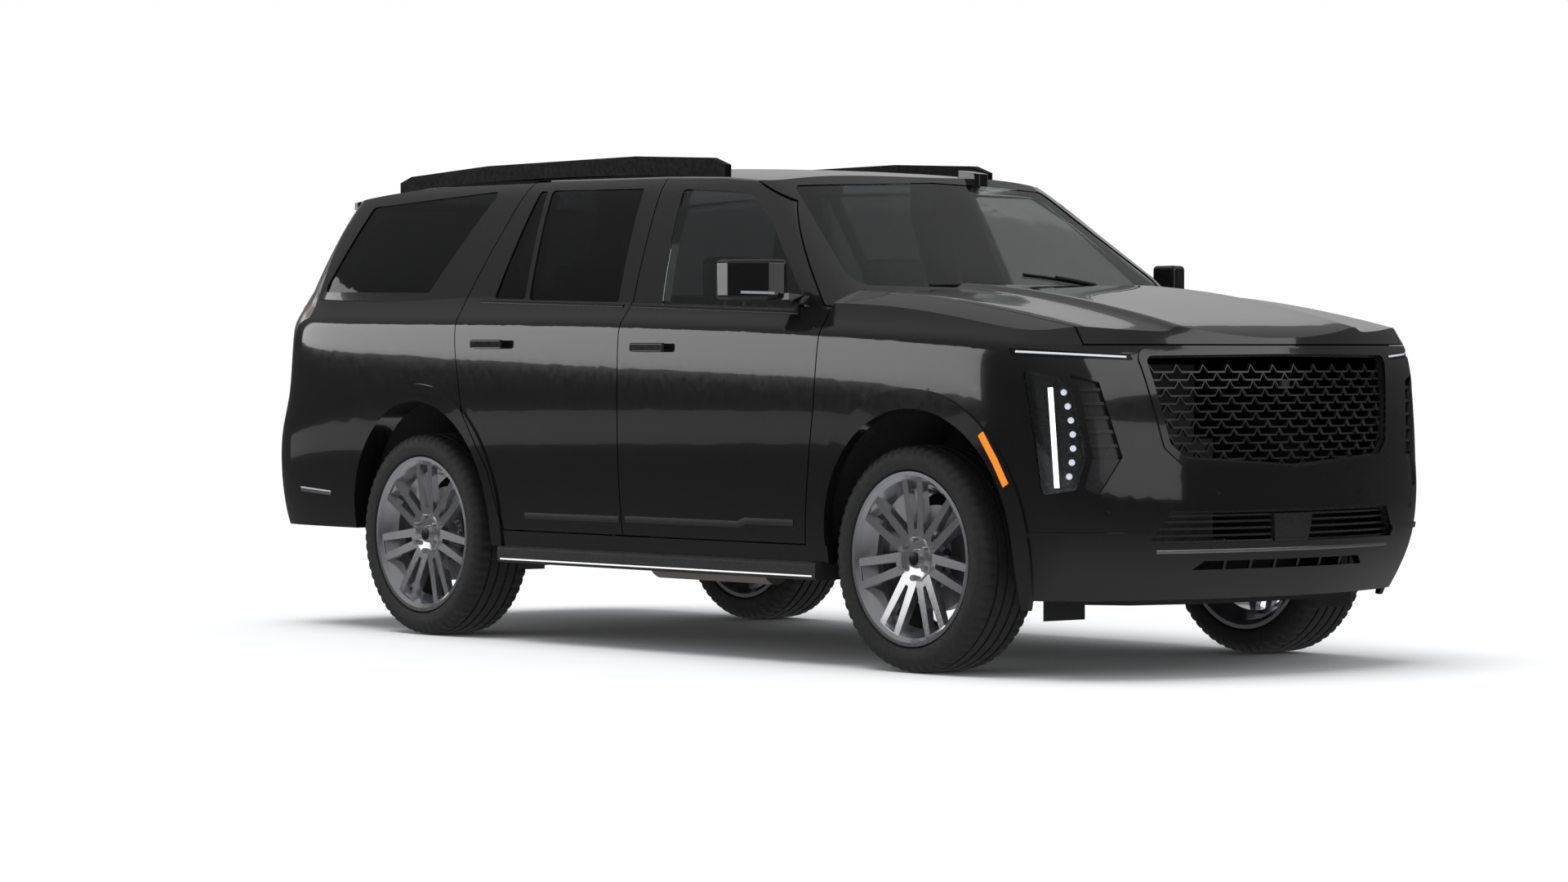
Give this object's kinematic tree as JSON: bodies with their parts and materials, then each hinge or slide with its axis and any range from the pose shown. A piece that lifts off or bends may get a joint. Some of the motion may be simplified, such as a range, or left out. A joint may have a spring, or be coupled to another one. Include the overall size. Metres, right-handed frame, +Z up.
{
  "type": "sport utility vehicle",
  "caption": "Full-size sport utility vehicle with a tall square body, opening doors, bonnet and tailgate, steered front wheels, large spoked wheels, roof rails and running boards.",
  "frame": {"origin": "on the ground, at the centre of the vehicle's length and width", "axes": "+X to the front of the vehicle, +Y to its left side, +Z up"},
  "size_m": [5.3727, 2.3908, 1.9649],
  "materials": {
    "textured_plastic": "moulded matt black plastic",
    "gloss_black_paint": "high gloss clear-coated black",
    "frame_steel": "black chassis paint",
    "cast_metal": "bare casting",
    "exhaust_steel": "heat-dulled steel",
    "clear_glass": "lightly tinted glass",
    "seat_leather": "dark seat leather",
    "tyre_rubber": "matt rubber",
    "polished_wheel": "dark polished alloy",
    "black_trim": "gloss black trim",
    "lamp_lens": "clear lamp lens over white light bars",
    "privacy_glass": "dark tinted glass",
    "tail_lens": "clear lens with a red foot"
  },
  "bodies": {
    "vehicle_body": {"air_dam": "textured_plastic", "chassis_frame": "frame_steel", "dashboard": "textured_plastic", "engine_block": "cast_metal", "exhaust": "exhaust_steel", "front_bumper": "gloss_black_paint", "front_fenders": "gloss_black_paint", "front_seats": "seat_leather", "front_suspension": "cast_metal", "fuel_tank": "textured_plastic", "grilles": "black_trim", "headlamp_lenses": "lamp_lens", "headlamps": "black_trim", "quarter_glass": "privacy_glass", "rear_bumper": "gloss_black_paint", "rear_seats": "seat_leather", "rear_suspension": "cast_metal", "roof_panel": "gloss_black_paint", "roof_rails": "black_trim", "running_boards": "textured_plastic", "side_frames": "gloss_black_paint", "tail_lamps": "tail_lens", "underbody": "gloss_black_paint", "wheelhouses": "textured_plastic", "windscreen": "clear_glass"},
    "front_door_right_body": {"front_door_right": "gloss_black_paint", "front_door_glass_right": "clear_glass", "mirror_right": "gloss_black_paint"},
    "rear_door_right_body": {"rear_door_right": "gloss_black_paint", "rear_door_glass_right": "privacy_glass"},
    "front_wheel_right_body": {"front_wheel_right": "polished_wheel", "front_tyre_right": "tyre_rubber"},
    "rear_wheel_right_body": {"rear_wheel_right": "polished_wheel", "rear_tyre_right": "tyre_rubber"},
    "knuckle_right_body": {"front_knuckle_right": "cast_metal"},
    "front_door_left_body": {"front_door_left": "gloss_black_paint", "front_door_glass_left": "clear_glass", "mirror_left": "gloss_black_paint"},
    "rear_door_left_body": {"rear_door_left": "gloss_black_paint", "rear_door_glass_left": "privacy_glass"},
    "front_wheel_left_body": {"front_wheel_left": "polished_wheel", "front_tyre_left": "tyre_rubber"},
    "rear_wheel_left_body": {"rear_wheel_left": "polished_wheel", "rear_tyre_left": "tyre_rubber"},
    "knuckle_left_body": {"front_knuckle_left": "cast_metal"},
    "bonnet_body": {"bonnet": "gloss_black_paint"},
    "tailgate_body": {"tailgate": "gloss_black_paint", "tailgate_glass": "privacy_glass"}
  },
  "joints": [
    {"name": "steer_right", "type": "hinge", "parent": "vehicle_body", "child": "knuckle_right_body", "pos_m": [1.691, -0.8, 0.419], "axis": [0, 0, 1], "range_deg": [-32, 32]},
    {"name": "front_wheel_right_spin", "type": "hinge", "parent": "knuckle_right_body", "child": "front_wheel_right_body", "pos_m": [1.691, -0.869, 0.419], "axis": [0, 1, 0], "continuous": true},
    {"name": "rear_wheel_right_spin", "type": "hinge", "parent": "vehicle_body", "child": "rear_wheel_right_body", "pos_m": [-1.38, -0.869, 0.419], "axis": [0, 1, 0], "continuous": true},
    {"name": "front_door_right_hinge", "type": "hinge", "parent": "vehicle_body", "child": "front_door_right_body", "pos_m": [1.101, -1.00716, 0.85], "axis": [0, 0, 1], "range_deg": [0, 68]},
    {"name": "rear_door_right_hinge", "type": "hinge", "parent": "vehicle_body", "child": "rear_door_right_body", "pos_m": [-0.114, -1.00716, 0.85], "axis": [0, 0, 1], "range_deg": [0, 72]},
    {"name": "steer_left", "type": "hinge", "parent": "vehicle_body", "child": "knuckle_left_body", "pos_m": [1.691, 0.8, 0.419], "axis": [0, 0, 1], "range_deg": [-32, 32]},
    {"name": "front_wheel_left_spin", "type": "hinge", "parent": "knuckle_left_body", "child": "front_wheel_left_body", "pos_m": [1.691, 0.869, 0.419], "axis": [0, 1, 0], "continuous": true},
    {"name": "rear_wheel_left_spin", "type": "hinge", "parent": "vehicle_body", "child": "rear_wheel_left_body", "pos_m": [-1.38, 0.869, 0.419], "axis": [0, 1, 0], "continuous": true},
    {"name": "front_door_left_hinge", "type": "hinge", "parent": "vehicle_body", "child": "front_door_left_body", "pos_m": [1.101, 1.00716, 0.85], "axis": [0, 0, -1], "range_deg": [0, 68]},
    {"name": "rear_door_left_hinge", "type": "hinge", "parent": "vehicle_body", "child": "rear_door_left_body", "pos_m": [-0.114, 1.00716, 0.85], "axis": [0, 0, -1], "range_deg": [0, 72]},
    {"name": "bonnet_hinge", "type": "hinge", "parent": "vehicle_body", "child": "bonnet_body", "pos_m": [1.375, 0, 1.426], "axis": [0, -1, 0], "range_deg": [0, 52]},
    {"name": "tailgate_hinge", "type": "hinge", "parent": "vehicle_body", "child": "tailgate_body", "pos_m": [-2.235, 0, 1.862], "axis": [0, 1, 0], "range_deg": [0, 82]}
  ],
  "couplings": [
    {"joint": "steer_left", "follows": "steer_right", "ratio": 1}
  ]
}
